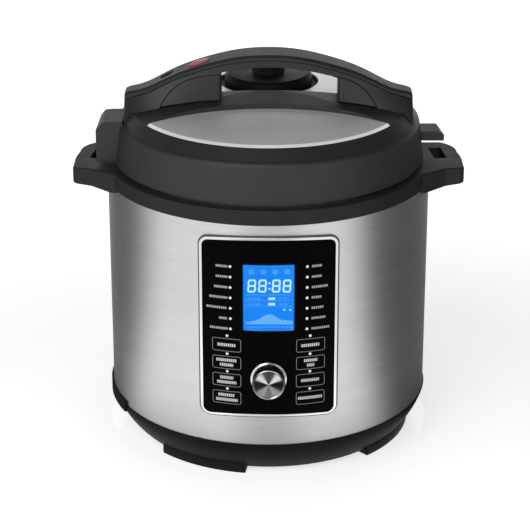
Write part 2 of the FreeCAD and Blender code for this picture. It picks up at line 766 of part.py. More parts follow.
def pressure_valve():
    """Turning weight: broad bevelled disc, round grip and pointing lever."""
    disc = revolved((5 + FIT, 281.7), (36.7, 281.7), (37.5, 282.5), (37.5, 289.8), (34.6, 292.6),
                    (0, 292.9), (0, 286.5), (5 + FIT, 286.5))
    grip = revolved((0, 292.5), (14.3, 292.5), (13.6, 300.6), ((13.0, 302.4), (11.2, 303)), (0, 303))
    lever = rounded_box((-6, 6), (-2, 33), (292.5, 298.5), 5, Z)
    return placed(fused([disc, grip, lever]), 0, VALVE_Y)


# ---- every node ---------------------------------------------------------------------------
def build():
    nodes = {
        "base_bowl": base_bowl(),
        "bottom_cover": bottom_cover(),
        "base_screws": base_screws(),
        "support_bracket": support_bracket(),
        "steel_shell": steel_shell(),
        "upper_collar": upper_collar(),
        "cooker_liner": cooker_liner(),
        "heating_plate": heating_plate(),
        "sensor_holder": sensor_holder(),
        "temperature_sensor": temperature_sensor(),
        "pressure_switch": pressure_switch(),
        "thermal_fuse": thermal_fuse(),
        "power_board": power_board(),
        "power_inlet": power_inlet(),
        "inlet_pins": inlet_pins(),
        "cup_bracket": cup_bracket(),
        "condensation_cup": condensation_cup(),
        "panel_frame": panel_frame(),
        "panel_gasket": panel_gasket(),
        "panel_fascia": panel_fascia(),
        "display_window": display_window(),
        "indicator_leds": indicator_leds(),
        "panel_carrier": panel_carrier(),
        "control_board": control_board(),
        "lcd_module": lcd_module(),
        "control_knob": control_knob(),
        "encoder_shaft": encoder_shaft(),
        "encoder_body": encoder_body(),
        "inner_pot": inner_pot(),
        "sealing_gasket": sealing_gasket(),
        "gasket_rack": gasket_rack(),
        "lid_shell": lid_shell(),
        "steel_inlays": steel_inlays(),
        "inner_lid": inner_lid(),
        "lid_bolt": lid_bolt(),
        "lid_screws": lid_screws(),
        "steam_filter": steam_filter(),
        "lid_tab_left": lid_tab_left(),
        "lid_tab_right": lid_tab_right(),
        "handle_cover": handle_cover(),
        "handle_body": handle_body(),
        "handle_pillar_left": handle_pillar(-1),
        "handle_pillar_right": handle_pillar(1),
        "release_button": release_button(),
        "float_pin": float_pin(),
        "valve_base": valve_base(),
        "valve_stem": valve_stem(),
        "pressure_valve": pressure_valve(),
    }
    for place, azimuth in FOOT_AZIMUTHS.items():
        nodes["foot_" + place] = foot(azimuth)
    for side, name in ((-1, "left"), (1, "right")):
        for index, height in enumerate(KEY_ROWS):
            nodes["key_%s_%d" % (name, index + 1)] = key(side, height)
    return nodes


os.makedirs("parts", exist_ok=True)
for node, shape in build().items():
    shape.exportStep("parts/" + node + ".step")
    print(node, len(shape.Solids), shape.isValid(), round(shape.Volume))
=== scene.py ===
"""Looks of the electric pressure cooker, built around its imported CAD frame.

Metres unless a name or comment says millimetres; +Z is up and -Y is the front.
"""
import json
import math

import bmesh
import bpy
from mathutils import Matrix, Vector


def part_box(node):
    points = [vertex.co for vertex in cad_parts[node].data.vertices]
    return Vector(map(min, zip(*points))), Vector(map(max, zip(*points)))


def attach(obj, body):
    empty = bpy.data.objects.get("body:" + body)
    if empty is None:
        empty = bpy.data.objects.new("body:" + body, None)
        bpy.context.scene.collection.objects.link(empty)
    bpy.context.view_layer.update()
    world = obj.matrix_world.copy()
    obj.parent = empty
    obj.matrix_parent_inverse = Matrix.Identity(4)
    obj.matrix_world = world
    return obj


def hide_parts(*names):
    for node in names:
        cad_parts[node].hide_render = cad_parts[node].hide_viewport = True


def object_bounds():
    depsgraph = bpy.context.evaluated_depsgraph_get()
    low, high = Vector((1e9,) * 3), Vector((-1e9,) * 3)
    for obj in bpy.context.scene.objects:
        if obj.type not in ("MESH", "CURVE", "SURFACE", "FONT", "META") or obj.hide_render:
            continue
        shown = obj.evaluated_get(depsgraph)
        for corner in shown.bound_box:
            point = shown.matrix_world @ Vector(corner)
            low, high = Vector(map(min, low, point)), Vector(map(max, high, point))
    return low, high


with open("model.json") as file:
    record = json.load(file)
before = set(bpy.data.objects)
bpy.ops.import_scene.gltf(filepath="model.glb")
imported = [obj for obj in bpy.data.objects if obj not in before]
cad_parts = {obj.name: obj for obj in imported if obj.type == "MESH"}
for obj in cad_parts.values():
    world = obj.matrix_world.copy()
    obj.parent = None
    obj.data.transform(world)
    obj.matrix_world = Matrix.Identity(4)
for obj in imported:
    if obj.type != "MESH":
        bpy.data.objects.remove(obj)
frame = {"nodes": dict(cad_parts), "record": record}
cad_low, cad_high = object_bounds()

MM = 0.001
NODES = frame["nodes"]
BODY_OF = {node: body for body, nodes in frame["record"]["behaviour"]["bodies"].items() for node in nodes}

# ---- camera -------------------------------------------------------------------------------
CAMERA_PLACE = (-0.0029, -1.600, 0.7861)
CAMERA_DOWN = 22.06  # degrees below the horizon
LENS = 136.34
SENSOR = 36.0
CLIP = (0.05, 60.0)


def add_camera():
    """The camera at the picture's viewing angle."""
    data = bpy.data.cameras.new("camera")
    data.lens = LENS
    data.sensor_width = SENSOR
    data.clip_start, data.clip_end = CLIP
    camera = bpy.data.objects.new("camera", data)
    camera.location = CAMERA_PLACE
    camera.rotation_euler = (math.radians(90.0 - CAMERA_DOWN), 0.0, 0.0)
    bpy.context.collection.objects.link(camera)
    bpy.context.scene.camera = camera


# ---- materials ----------------------------------------------------------------------------
def tree_maker(tree):
    """A function that adds nodes to the tree, with constants or links on their inputs."""
    def node(kind, inputs=None, **settings):
        made = tree.nodes.new("ShaderNode" + kind)
        for name, value in settings.items():
            setattr(made, name, value)
        for key, value in (inputs or {}).items():
            put(tree, made.inputs[key], value)
        return made
    return node


def put(tree, socket, value):
    """Links the socket if the value is a socket too, and otherwise sets it."""
    if isinstance(value, bpy.types.NodeSocket):
        tree.links.new(value, socket)
    else:
        socket.default_value = value


class Material:
    """A node material; the methods add nodes and return the socket that carries their result."""

    def __init__(self, name):
        self.material = bpy.data.materials.new(name)
        self.material.use_nodes = True
        self.tree = self.material.node_tree
        self.shader = self.tree.nodes["Principled BSDF"]
        self.node = tree_maker(self.tree)

    def set(self, **values):
        """Shader sockets by name, with _ for a space; a value is a constant or a socket."""
        for key, value in values.items():
            put(self.tree, self.shader.inputs[key.replace("_", " ")], value)

    def place(self):
        return self.node("TexCoord").outputs["Object"]

    def math(self, operation, a, b=0.0):
        return self.node("Math", {0: a, 1: b}, operation=operation).outputs[0]

    def split(self, vector):
        return self.node("SeparateXYZ", {0: vector}).outputs

    def join(self, x, y, z):
        return self.node("CombineXYZ", {0: x, 1: y, 2: z}).outputs[0]

    def noise(self, scale, detail=3.0, vector=None, roughness=0.55):
        inputs = {"Vector": vector or self.place(), "Scale": scale, "Detail": detail, "Roughness": roughness}
        return self.node("TexNoise", inputs).outputs[0]

    def remap(self, value, low, high, new_low, new_high):
        inputs = {"Value": value, "From Min": low, "From Max": high, "To Min": new_low, "To Max": new_high}
        return self.node("MapRange", inputs).outputs[0]

    def mix(self, factor, a, b):
        node = self.node("Mix", data_type="RGBA")
        sockets = [s for s in node.inputs if s.enabled]
        for socket, value in zip(sockets, (factor, a, b)):
            put(self.tree, socket, value)
        return next(s for s in node.outputs if s.enabled)

    def bump(self, height, strength, distance, normal=None):
        inputs = {"Height": height, "Strength": strength, "Distance": distance}
        if normal:
            inputs["Normal"] = normal
        return self.node("Bump", inputs).outputs[0]


def rgb(red, green, blue):
    return (red, green, blue, 1.0)


def grey(level):
    return rgb(level, level, level)


def scaled(colour, factor):
    """The colour made lighter or darker by a factor."""
    return rgb(*[min(1.0, channel * factor) for channel in colour])


MOULDED_GRAIN = 0.00012
MOULDED_EDGE = 0.0008


def moulded(name, colour, roughness, ior_level=0.5):
    """Spark-eroded injection-moulded plastic: fine grain, faint flow marks, edges that catch the light."""
    m = Material(name)
    fine = m.noise(2600.0, 2.0)
    broad = m.noise(14.0, 4.0)
    flow = m.noise(60.0, 3.0)
    shade = m.mix(m.remap(broad, 0.3, 0.7, 0.0, 1.0), scaled(colour, 0.84), scaled(colour, 1.18))
    m.set(Base_Color=shade, Specular_IOR_Level=ior_level)
    m.set(Roughness=m.remap(m.math("ADD", flow, m.math("MULTIPLY", fine, 0.5)), 0.45, 1.1,
                            roughness - 0.05, roughness + 0.07))
    soft = m.node("Bevel", {"Radius": MOULDED_EDGE}, samples=4).outputs[0]
    m.set(Normal=m.bump(fine, 0.55, MOULDED_GRAIN, soft))
    return m.material


def glossy(name, colour, roughness, ior_level):
    """Smooth glossy plastic with a very slight orange peel."""
    m = Material(name)
    peel = m.noise(90.0, 2.0)
    smear = m.noise(25.0, 4.0)
    m.set(Base_Color=m.mix(smear, scaled(colour, 0.8), rgb(*colour)))
    m.set(Roughness=m.remap(smear, 0.3, 0.7, roughness * 0.8, roughness * 1.3))
    m.set(Normal=m.bump(peel, 0.12, 0.0002), Specular_IOR_Level=ior_level)
    return m.material


def ramped(tree, value, stops, interpolation):
    """Grey ramp through (degrees, level) stops from -180 to 180, for a value from 0 to 1."""
    ramp = tree.nodes.new("ShaderNodeValToRGB")
    tree.links.new(value, ramp.inputs[0])
    ramp.color_ramp.interpolation = interpolation
    while len(ramp.color_ramp.elements) < len(stops):
        ramp.color_ramp.elements.new(0.5)
    for element, (degrees, level) in zip(ramp.color_ramp.elements, stops):
        element.position = (degrees + 180.0) / 360.0
    for element, (degrees, level) in zip(ramp.color_ramp.elements, stops):
        element.color = (level, level, level, 1.0)
    return ramp.outputs[0]


def distance(m, a, b):
    """Length of the vector with these two parts."""
    return m.math("SQRT", m.math("ADD", m.math("MULTIPLY", a, a), m.math("MULTIPLY", b, b)))


def round_place(m, centre=(0.0, 0.0), height_axis="Z"):
    """Angle in radians, and radius and height, about a vertical or a front-to-back axis."""
    x, y, z = m.split(m.place())
    second, height = (z, y) if height_axis == "Y" else (y, z)
    across = m.math("SUBTRACT", x, centre[0])
    up = m.math("SUBTRACT", second, centre[1])
    return m.math("ARCTAN2", up, across), distance(m, across, up), height


BRUSH_DEPTH = 0.00002
BRUSH_LINES = 900.0


def brushed_round(name, colour, roughness, anisotropy):
    """Steel brushed round the body: streaks run along the turning direction."""
    m = Material(name)
    angle, radius, height = round_place(m)
    across, up = m.math("COSINE", angle), m.math("SINE", angle)
    streak = m.noise(2.2, 3.0, vector=m.join(across, up, m.math("MULTIPLY", height, BRUSH_LINES)))
    band = m.noise(1.3, 2.0, vector=m.join(across, up, m.math("MULTIPLY", height, 60.0)))
    both = m.math("ADD", m.math("MULTIPLY", streak, 0.75), m.math("MULTIPLY", band, 0.25))
    shade = m.mix(m.remap(both, 0.3, 0.7, 0.0, 1.0), scaled(colour, 0.84), scaled(colour, 1.08))
    m.set(Base_Color=shade, Metallic=1.0)
    m.set(Roughness=m.remap(streak, 0.25, 0.75, roughness - 0.05, roughness + 0.07))
    m.set(Anisotropic=anisotropy, Anisotropic_Rotation=0.25, Normal=m.bump(streak, 0.35, BRUSH_DEPTH))
    m.set(Tangent=m.node("Tangent", direction_type="RADIAL", axis="Z").outputs[0])
    return m.material


def brushed_flat_painted_light(name, colour, roughness, rim, dome):
    """Satin sheet brushed left to right.

    Its normals lean as on a dome of the given radius. The sheet behind the handle is more mirror-like and
    painted near white, a painted reflection; the bevel outside the rim radius is polished, painted near
    white and glows faintly, a painted highlight.
    """
    m = Material(name)
    x, y, z = m.split(m.place())
    line = m.join(m.math("MULTIPLY", x, 6.0), m.math("MULTIPLY", y, BRUSH_LINES),
                  m.math("MULTIPLY", z, BRUSH_LINES))
    streak = m.noise(2.0, 4.0, vector=line)
    cloud = m.noise(18.0, 3.0)
    both = m.math("ADD", m.math("MULTIPLY", streak, 0.7), m.math("MULTIPLY", cloud, 0.3))
    bevel = m.remap(distance(m, x, y), rim - 0.0002, rim, 0.0, 1.0)
    sheet = m.mix(m.remap(both, 0.3, 0.7, 0.0, 1.0), scaled(colour, 0.86), scaled(colour, 1.1))
    # Painted reflection: the sheet behind the handle and the bevel are painted near white.
    rear = m.math("MAXIMUM", bevel, m.remap(y, 0.0, 0.01, 0.0, 1.0))
    m.set(Base_Color=m.mix(rear, sheet, grey(0.95)), Metallic=m.remap(rear, 0.0, 1.0, 0.35, 1.0))
    # Painted highlight: the polished bevel glows faintly.
    m.set(Emission_Color=grey(1.0), Emission_Strength=m.math("MULTIPLY", bevel, 0.55))
    satin = m.remap(streak, 0.25, 0.75, roughness - 0.05, roughness + 0.08)
    smooth = m.math("SUBTRACT", 1.0, m.math("MULTIPLY", bevel, 0.7))
    flat = m.math("SUBTRACT", 1.0, bevel)
    lean = [m.math("MULTIPLY", flat, m.math("DIVIDE", place, dome)) for place in (x, y)]
    normal = m.node("NewGeometry").outputs["Normal"]
    domed = m.node("VectorMath", {0: normal, 1: m.join(lean[0], lean[1], 0.0)}, operation="ADD").outputs[0]
    domed = m.node("VectorMath", {0: domed}, operation="NORMALIZE").outputs[0]
    m.set(Roughness=m.math("MULTIPLY", satin, smooth), Normal=m.bump(streak, 0.3, BRUSH_DEPTH, domed))
    return m.material


def polished(name, colour, roughness):
    """Bright plated or polished metal with faint handling marks."""
    m = Material(name)
    smear = m.noise(45.0, 5.0)
    fine = m.noise(1500.0, 2.0)
    m.set(Base_Color=m.mix(smear, scaled(colour, 0.93), rgb(*colour)), Metallic=1.0)
    m.set(Roughness=m.remap(smear, 0.3, 0.7, roughness * 0.7, roughness * 1.4))
    m.set(Normal=m.bump(fine, 0.1, 0.00003))
    return m.material


def cast(name, colour, roughness):
    """Gritty cast metal."""
    m = Material(name)
    grit = m.noise(1100.0, 4.0)
    cloud = m.noise(30.0, 4.0)
    m.set(Base_Color=m.mix(cloud, scaled(colour, 0.8), rgb(*colour)), Metallic=1.0)
    m.set(Roughness=m.remap(grit, 0.3, 0.7, roughness - 0.1, roughness + 0.1))
    m.set(Normal=m.bump(grit, 0.5, 0.0002))
    return m.material


def soft_rubber(name, colour, roughness):
    """Matt rubber with a little dust."""
    m = Material(name)
    dust = m.noise(35.0, 5.0)
    grain = m.noise(1800.0, 2.0)
    m.set(Base_Color=m.mix(dust, scaled(colour, 0.75), rgb(*colour)))
    m.set(Roughness=m.remap(dust, 0.3, 0.7, roughness - 0.06, roughness + 0.08))
    m.set(Normal=m.bump(grain, 0.5, 0.00015), Sheen_Weight=0.15, Sheen_Roughness=0.5)
    return m.material


def silicone(name):
    """Milky sealing silicone."""
    m = Material(name)
    cloud = m.noise(40.0, 3.0)
    m.set(Base_Color=m.mix(cloud, rgb(0.62, 0.64, 0.64), rgb(0.78, 0.8, 0.8)))
    m.set(Roughness=m.remap(cloud, 0.3, 0.7, 0.38, 0.52), Subsurface_Weight=0.3, Subsurface_Scale=0.002)
    m.set(Normal=m.bump(m.noise(900.0, 2.0), 0.2, 0.0001))
    return m.material


def clear_window(name):
    """Clear plastic with faint smears."""
    m = Material(name)
    smear = m.noise(30.0, 4.0)
    m.set(Base_Color=rgb(0.93, 0.97, 1.0), Transmission_Weight=1.0, IOR=1.2, Specular_IOR_Level=0.3)
    m.set(Roughness=m.remap(smear, 0.3, 0.7, 0.0, 0.03))
    return m.material


def lit(name, colour, strength, variation):
    """A lit surface, a little brighter in places."""
    m = Material(name)
    cloud = m.noise(60.0, 2.0)
    shade = m.mix(m.remap(cloud, 0.35, 0.65, 0.0, 1.0), scaled(colour, 1.0 - variation), rgb(*colour))
    m.set(Base_Color=m.mix(0.95, shade, grey(0.0)), Emission_Color=shade, Emission_Strength=strength)
    m.set(Roughness=0.4, Specular_IOR_Level=0.0)
    return m.material


def board(name):
    """Green solder mask with a fine track pattern."""
    m = Material(name)
    x, y, z = m.split(m.place())
    flat = m.join(m.math("ADD", x, y), z, 0.0)
    inputs = {"Vector": flat, "Scale": 420.0, "Randomness": 0.55}
    cells = m.node("TexVoronoi", inputs, distance="MANHATTAN").outputs[0]
    track = m.remap(cells, 0.25, 0.4, 0.0, 1.0)
    m.set(Base_Color=m.mix(track, rgb(0.02, 0.16, 0.07), rgb(0.01, 0.08, 0.035)), Roughness=0.35)
    m.set(Normal=m.bump(track, 0.3, 0.00005), Coat_Weight=0.3)
    return m.material


def printed_with_painted_glow(name, colour, strength):
    """Screen-print ink with a slightly broken surface, and a faint glow of its own that is painted light."""
    m = Material(name)
    grain = m.noise(700.0, 3.0)
    shade = m.mix(m.remap(grain, 0.3, 0.6, 0.0, 1.0), scaled(colour, 0.8), rgb(*colour))
    # Painted light: the ink glows faintly in its own colour.
    m.set(Base_Color=shade, Roughness=0.55, Emission_Color=shade, Emission_Strength=strength)
    m.set(Normal=m.bump(grain, 0.2, 0.00002))
    return m.material


KNOB_LOW, KNOB_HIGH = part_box("control_knob")
KNOB_CENTRE = ((KNOB_LOW.x + KNOB_HIGH.x) / 2, (KNOB_LOW.z + KNOB_HIGH.z) / 2)
KNOB_FACE_R = 0.0114
KNOB_FACE_DEPTH = 0.0025
# Painted reflection: brightness painted round the knob's face, by angle in degrees from the right,
# anticlockwise.
PAINTED_FAN = ((-180, 0.02), (-156, 0.04), (-142, 0.34), (-118, 0.40), (-100, 0.20), (-80, 0.20), (-62, 0.40),
       (-38, 0.34), (-24, 0.04), (0, 0.01), (18, 0.03), (26, 0.7), (40, 1.0), (56, 0.7), (66, 0.12),
       (90, 0.06), (114, 0.12), (124, 0.7), (140, 1.0), (154, 0.7), (162, 0.03), (180, 0.02))
# The same painted reflection for the rolled edge of the face.
PAINTED_RIM = ((-180, 0.06), (-150, 0.35), (-120, 0.7), (-90, 0.55), (-60, 0.7), (-30, 0.35), (0, 0.06), (40, 0.10),
       (62, 0.75), (90, 0.45), (118, 0.75), (140, 0.10), (180, 0.06))


def spun_knob_painted_fan(name, centre):
    """Spun face: fine rings round the knob's axis, and a painted reflection: a fan of light and dark by
    angle.
    """
    m = Material(name)
    angle, radius, depth = round_place(m, centre, "Y")
    rings = m.noise(2.4, 3.0, vector=m.join(m.math("MULTIPLY", radius, 2600.0), angle, 0.0))
    turn = m.remap(angle, -math.pi, math.pi, 0.0, 1.0)
    # Painted reflection: these ramps paint the fan of light and dark on the face and on its rolled edge.
    fan = ramped(m.tree, turn, PAINTED_FAN, "LINEAR")
    rim = ramped(m.tree, turn, PAINTED_RIM, "LINEAR")
    face = m.remap(radius, KNOB_FACE_R, KNOB_FACE_R + 0.0003, 1.0, 0.0)
    face_end = KNOB_LOW.y + KNOB_FACE_DEPTH
    front = m.remap(depth, face_end, face_end + 0.0003, 1.0, 0.0)
    # The face and its rolled edge get the painted reflection; the knob's side stays plain grey.
    m.set(Base_Color=m.mix(front, grey(0.75), m.mix(face, rim, fan)), Metallic=1.0)
    m.set(Roughness=m.remap(rings, 0.3, 0.7, 0.14, 0.28))
    m.set(Normal=m.bump(rings, 0.25, 0.00003), Anisotropic=0.6)
    m.set(Tangent=m.node("Tangent", direction_type="RADIAL", axis="Y").outputs[0])
    return m.material


INLAY_RIM = 0.1109
INLAY_DOME = 1.3

# One material for each material slot of the record.
MATERIALS = {
    "black_plastic": moulded("black_plastic", (0.010, 0.010, 0.0105), 0.50, ior_level=0.22),
    "lid_plastic": moulded("lid_plastic", (0.021, 0.021, 0.0215), 0.48),
    "brushed_steel": brushed_round("brushed_steel", (0.66, 0.66, 0.665), 0.34, 0.75),
    "satin_steel": brushed_round("satin_steel", (0.60, 0.60, 0.605), 0.40, 0.3),
    "chrome": polished("chrome", (0.82, 0.82, 0.83), 0.10),
    "knob_metal": spun_knob_painted_fan("knob_metal", KNOB_CENTRE),
    "gloss_black": glossy("gloss_black", (0.0025, 0.0025, 0.003), 0.10, 0.02),
    "display_glass": clear_window("display_glass"),
    "display_blue": lit("display_blue", (0.0, 0.235, 0.93), 1.0, 0.04),
    "led_white": lit("led_white", (0.9, 0.9, 0.92), 0.9, 0.12),
    "red_plastic": glossy("red_plastic", (0.72, 0.11, 0.13), 0.38, 0.5),
    "rubber": soft_rubber("rubber", (0.02, 0.02, 0.02), 0.75),
    "silicone": silicone("silicone"),
    "cast_aluminium": cast("cast_aluminium", (0.5, 0.5, 0.5), 0.5),
    "pot_steel": brushed_round("pot_steel", (0.68, 0.68, 0.69), 0.24, 0.5),
    "circuit_board": board("circuit_board"),
    "white_nylon": moulded("white_nylon", (0.62, 0.61, 0.57), 0.45),
    "screw_steel": polished("screw_steel", (0.6, 0.6, 0.61), 0.28),
    "pin_brass": polished("pin_brass", (0.75, 0.6, 0.3), 0.2),
    "smoke_plastic": glossy("smoke_plastic", (0.03, 0.03, 0.033), 0.2, 0.5),
}
# Inks and lights of the pieces that this script adds; the inks glow faintly, which is painted light.
INK = printed_with_painted_glow("ink", (0.5, 0.5, 0.5), 0.06)
INK_BRIGHT = printed_with_painted_glow("ink_bright", (0.72, 0.72, 0.72), 0.1)
INK_GREY = printed_with_painted_glow("ink_grey", (0.25, 0.25, 0.25), 0.03)
DISPLAY_PALE = lit("display_pale", (0.55, 0.9, 1.0), 1.0, 0.05)
DISPLAY_SOFT = lit("display_soft", (0.13, 0.45, 0.92), 1.0, 0.05)
# Nodes that look different from the rest of their slot.
# The inlay steel has a painted reflection behind the handle and a painted highlight on its bevel.
INLAY_STEEL = brushed_flat_painted_light("inlay_steel", (0.73, 0.73, 0.735), 0.45, INLAY_RIM, INLAY_DOME)
# Painted shadow: the panel gasket's soft dark grey stands in for the shadow line round the panel frame.
GASKET_SHADOW_GREY = soft_rubber("gasket_shadow_grey", (0.10, 0.10, 0.10), 0.75)
BASE_BLACK = moulded("base_black", (0.0085, 0.0085, 0.009), 0.55, ior_level=0.12)
COLLAR_BLACK = moulded("collar_black", (0.017, 0.017, 0.0175), 0.50, ior_level=0.27)
OWN_MATERIAL = {
    "steel_inlays": INLAY_STEEL, "panel_gasket": GASKET_SHADOW_GREY, "upper_collar": COLLAR_BLACK,
    "base_bowl": BASE_BLACK, "foot_front_left": BASE_BLACK, "foot_front_right": BASE_BLACK,
    "foot_rear_left": BASE_BLACK, "foot_rear_right": BASE_BLACK,
}


def dress_frame():
    """Gives every CAD node its material."""
    for row in frame["record"]["subparts"]:
        for holder in NODES[row["node"]].material_slots:
            holder.material = OWN_MATERIAL.get(row["node"], MATERIALS[row["material_slot"]])


# ---- mesh helpers -------------------------------------------------------------------------
WELD = 1e-7


def add_mesh(name, points, faces, material, body):
    """A piece from points in millimetres."""
    mesh = bpy.data.meshes.new(name)
    mesh.from_pydata([Vector(p) * MM for p in points], [], faces)
    work = bmesh.new()
    work.from_mesh(mesh)
    bmesh.ops.remove_doubles(work, verts=work.verts, dist=WELD)
    bmesh.ops.recalc_face_normals(work, faces=work.faces)
    work.to_mesh(mesh)
    work.free()
    mesh.materials.append(material)
    piece = bpy.data.objects.new(name, mesh)
    bpy.context.collection.objects.link(piece)
    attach(piece, body)


STEEL_R = 135.0


class Print:
    """Thin raised shapes laid on the curved panel: arc is the distance round the steel, in millimetres."""

    STEP = 1.5
    CORNER_STEPS = 6

    def __init__(self, inner, outer):
        self.inner = inner
        self.outer = outer
        self.points = []
        self.faces = []

    def at(self, arc, height, radius):
        angle = arc / STEEL_R
        return (radius * math.sin(angle), -radius * math.cos(angle), height)

    def strip(self, rails):
        """Closed strip through a list of (arc, z, arc, z) cross lines."""
        base = len(self.points)
        for arc_a, z_a, arc_b, z_b in rails:
            for radius in (self.inner, self.outer):
                self.points.append(self.at(arc_a, z_a, radius))
                self.points.append(self.at(arc_b, z_b, radius))
        for i in range(len(rails) - 1):
            a = base + 4 * i
            b = a + 4
            self.faces += [(a, b, b + 1, a + 1), (a + 2, a + 3, b + 3, b + 2),
                           (a, a + 2, b + 2, b), (a + 1, b + 1, b + 3, a + 3)]
        last = base + 4 * (len(rails) - 1)
        self.faces += [(base, base + 1, base + 3, base + 2), (last, last + 2, last + 3, last + 1)]

    def bar(self, left, right, low, high):
        count = max(1, math.ceil((right - left) / self.STEP))
        arcs = [left + (right - left) * i / count for i in range(count + 1)]
        self.strip([(arc, low, arc, high) for arc in arcs])

    def frame(self, arc, height, half_width, half_height, radius, line):
        """Outline of a rounded rectangle."""
        path = []
        for sx, sz, start in ((1, 1, 0), (-1, 1, 90), (-1, -1, 180), (1, -1, 270)):
            for step in range(self.CORNER_STEPS + 1):
                angle = math.radians(start + 90 / self.CORNER_STEPS * step)
                path.append((sx * (half_width - radius), sz * (half_height - radius), angle))
        rails = []
        for x, z, angle in path + path[:1]:
            c, s = math.cos(angle), math.sin(angle)
            rails.append((arc + x + radius * c, height + z + radius * s,
                          arc + x + (radius - line) * c, height + z + (radius - line) * s))
        self.strip(self.divided(rails))

    def divided(self, rails):
        """The same rails, with more of them where a straight run crosses the curve of the panel."""
        full = [rails[0]]
        for a, b in zip(rails, rails[1:]):
            count = max(1, math.ceil(abs(b[0] - a[0]) / self.STEP))
            full += [tuple(p + (q - p) * i / count for p, q in zip(a, b)) for i in range(1, count + 1)]
        return full

    def piece(self, name, material, body):
        add_mesh(name, self.points, self.faces, material, body)


# ---- moulded edges ------------------------------------------------------------------------
# Widths of the rolled edges in millimetres.
EASED = {
    "pressure_valve": 0.5, "release_button": 0.6, "condensation_cup": 0.5, "cup_bracket": 0.6,
    "panel_frame": 0.15, "foot_front_left": 0.8, "foot_front_right": 0.8, "foot_rear_left": 0.8,
    "foot_rear_right": 0.8,
}
SAME_POINT = 2e-6
FLAT_DEGREES = 0.5
ROLLED_DEGREES = 28.0


def add_eased(node, width):
    """The node's own shape with its hard edges rolled over, as a moulding has them."""
    source = NODES[node]
    mesh = source.data.copy()
    mesh.name = node + "_moulded"
    work = bmesh.new()
    work.from_mesh(mesh)
    bmesh.ops.remove_doubles(work, verts=work.verts, dist=SAME_POINT)
    flat = math.radians(FLAT_DEGREES)
    bmesh.ops.dissolve_limit(work, angle_limit=flat, verts=work.verts, edges=work.edges)
    work.to_mesh(mesh)
    work.free()
    mesh.polygons.foreach_set("use_smooth", [True] * len(mesh.polygons))
    piece = bpy.data.objects.new(node + "_moulded", mesh)
    bpy.context.collection.objects.link(piece)
    bevel = piece.modifiers.new("rolled_edge", "BEVEL")
    bevel.width = width * MM
    bevel.segments = 3
    bevel.limit_method = "ANGLE"
    bevel.angle_limit = math.radians(ROLLED_DEGREES)
    bevel.use_clamp_overlap = False
    bevel.harden_normals = True
    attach(piece, BODY_OF[node])
    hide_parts(node)


# ---- panel print --------------------------------------------------------------------------
PANEL_R = 136.1
INK_DEPTH = 0.06
LABEL_SINK = 0.03
KEY_SINK = 0.02
BLOCK = 1.25
BLOCK_GAP = 0.45

# The rows of labels start beside the lights and run outwards; lengths from the top row down.
LED_TOP = 190.1
LED_PITCH = 8.95
LEFT_START = -32.8
LEFT_LABELS = (9.5, 9.5, 11.0, 15.0, 17.5, 7.0, 14.7)
RIGHT_START = 34.3
RIGHT_LABELS = (8.0, 8.3, 13.9, 9.1, 10.7, 11.5, 15.1)
LABEL_HEIGHT = 2.0


def dashes(ink, left, right, middle, height):
    """A generic label: a row of short blocks between two arcs."""
    at = left
    while at + BLOCK * 0.5 < right:
        end = min(at + BLOCK, right)
        ink.bar(at, end, middle - height / 2, middle + height / 2)
        at = end + BLOCK_GAP


def add_panel_print():
    ink = Print(PANEL_R - LABEL_SINK, PANEL_R + INK_DEPTH)
    for row, (left, right) in enumerate(zip(LEFT_LABELS, RIGHT_LABELS)):
        height = LED_TOP - LED_PITCH * row
        dashes(ink, LEFT_START - left, LEFT_START, height, LABEL_HEIGHT)
        dashes(ink, RIGHT_START, RIGHT_START + right, height, LABEL_HEIGHT)
    ink.piece("panel_labels", INK, "housing")


KEY_ROWS = (122.0, 106.5, 91.1, 75.5)
KEY_ARC = math.radians(14.4) * STEEL_R
KEY_HALF_WIDTH, KEY_HALF_HEIGHT = 11.9, 5.75
KEY_CORNER = 1.9
KEY_LINE = 0.55
MARK_PITCH = 4.2
MARK_HEIGHT = 2.6
# Half lengths of the marks on each key, line by line.
KEY_MARKS = {
    "left": ((7.5,), (8.5, 5.5), (5.5, 8.0), (7.0, 9.0)),
    "right": ((7.8,), (5.5, 3.0), (7.8,), (10.2,)),
}


def add_key_prints():
    for side, sign in (("left", -1), ("right", 1)):
        centre = sign * KEY_ARC
        for row, height in enumerate(KEY_ROWS):
            body = f"key_{side}_{row + 1}"
            ring = Print(PANEL_R - KEY_SINK, PANEL_R + INK_DEPTH)
            ring.frame(centre, height, KEY_HALF_WIDTH, KEY_HALF_HEIGHT, KEY_CORNER, KEY_LINE)
            ring.piece(f"{body}_outline", INK_GREY, body)
            ink = Print(PANEL_R - KEY_SINK, PANEL_R + INK_DEPTH)
            marks = KEY_MARKS[side][row]
            for index, reach in enumerate(marks):
                middle = height + MARK_PITCH * ((len(marks) - 1) / 2 - index)
                dashes(ink, centre - reach, centre + reach, middle, MARK_HEIGHT)
            ink.piece(f"{body}_marks", INK_BRIGHT, body)


